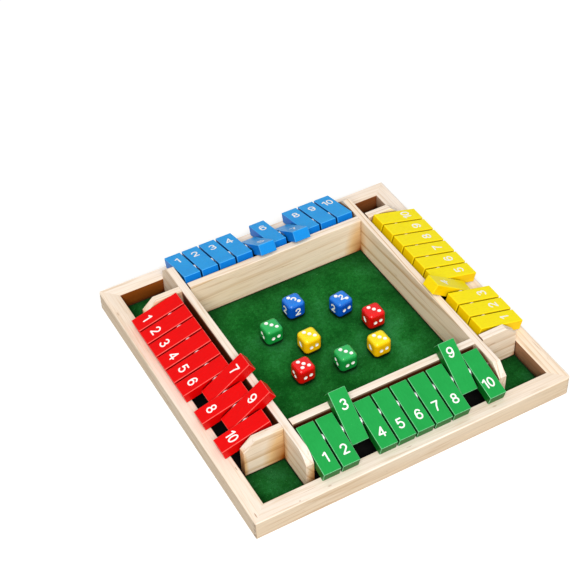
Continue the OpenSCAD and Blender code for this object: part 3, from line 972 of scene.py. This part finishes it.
def pipCutter(half, faces, material):
    # shallow bowls that are cut out of the faces, each a little lens on its face
    bowl, deep, count = die["pip"] / 2, die["pipDeep"], die["pipSides"]
    ball = (bowl ** 2 + deep ** 2) / (2 * deep)
    widest = math.acos((ball - deep - die["pipLip"]) / ball)
    turns = [2 * math.pi * k / count for k in range(count)]
    bm = bmesh.new()
    for side, pattern in zip(dieSides, faces):
        onFace = faceMatrix(side, half)
        for x, y, *stretch in pipPatterns[pattern]:
            centre = Vector((x, y, 0)) * die["spread"]
            long = stretch[0] if stretch else 1
            drawn = Matrix.Rotation(math.radians(die["barLean"]), 3, "Z") @ Matrix.Diagonal((long, 1, 1))
            rings = []
            for step in range(1, die["pipRings"] + 1):
                bend = widest * step / die["pipRings"]
                height = ball - deep - ball * math.cos(bend)
                ring = [centre + drawn @ Vector((ball * math.sin(bend) * math.cos(turn),
                                                 ball * math.sin(bend) * math.sin(turn), height))
                        for turn in turns]
                rings.append([bm.verts.new(onFace @ (point * mm)) for point in ring])
            deepest = bm.verts.new(onFace @ ((centre - Vector((0, 0, deep))) * mm))
            for k in range(count):
                following = (k + 1) % count
                bm.faces.new((deepest, rings[0][following], rings[0][k]))
                for inner, outer in zip(rings[:-1], rings[1:]):
                    bm.faces.new((inner[k], inner[following], outer[following], outer[k]))
            bm.faces.new(rings[-1])
    return meshFrom(bm, "pip_cutter", material)


def makeDie(name, material):
    low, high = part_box(name)
    side = high.z - low.z
    centre = (low + high) / 2
    # the die's turn shows in its widest upright face
    upright = [part for part in nodes[name].data.polygons if abs(part.normal.z) < die["uprightSlack"]]
    widest = max(upright, key=lambda part: part.area).normal
    turn = (math.degrees(math.atan2(widest.y, widest.x)) + 45) % 90 - 45
    place = Matrix.Translation(centre) @ Matrix.Rotation(math.radians(turn), 4, "Z")
    bm = bmesh.new()
    bmesh.ops.create_cube(bm, size=side)
    bmesh.ops.bevel(bm, geom=bm.edges[:], offset=die["edge"] * mm, offset_type="OFFSET",
                    segments=die["rounds"], profile=0.5, affect="EDGES", clamp_overlap=True)
    cube = bpy.data.objects.new("rough_die", meshFrom(bm, "rough_die", material))
    cutter = bpy.data.objects.new("pips", pipCutter(side / 2, diceFaces[name], whiteInk))
    for each in (cube, cutter):
        bpy.context.scene.collection.objects.link(each)
    cubeCut = cube.modifiers.new("pips", "BOOLEAN")
    cubeCut.object, cubeCut.operation, cubeCut.solver = cutter, "DIFFERENCE", "MANIFOLD"
    cubeCut.material_mode = "TRANSFER"
    evaluated = cube.evaluated_get(bpy.context.evaluated_depsgraph_get())
    mesh = bpy.data.meshes.new_from_object(evaluated)
    mesh.name = name + "_body"
    for each in (cube, cutter):
        bpy.data.objects.remove(each)
    mesh.shade_smooth()
    mesh.set_sharp_from_angle(angle=math.radians(die["crease"]))
    mesh.transform(place)
    piece = addPiece(name + "_body", mesh, name, (name,))
    keepFlatsFlat(piece)
    for face in dieNumerals.get(name, ()):
        onTop = face == "top"
        hooked = onTop and name == die["hooked"]
        size = die["hookSize" if hooked else "topSize" if onTop else "numberSize"]
        copy = plateMesh("hook" if hooked else 2, size, die["stroke"]).copy()
        copy.materials.append(whiteInk)
        copy.transform(place @ faceMatrix(face, side / 2))
        addPiece("%s_number_%s" % (name, face), copy, name)


for colour in plastics:
    plastic = dicePlastic(colour)
    for name in ("die_%s_1" % colour, "die_%s_2" % colour):
        makeDie(name, plastic)
print("dice made")
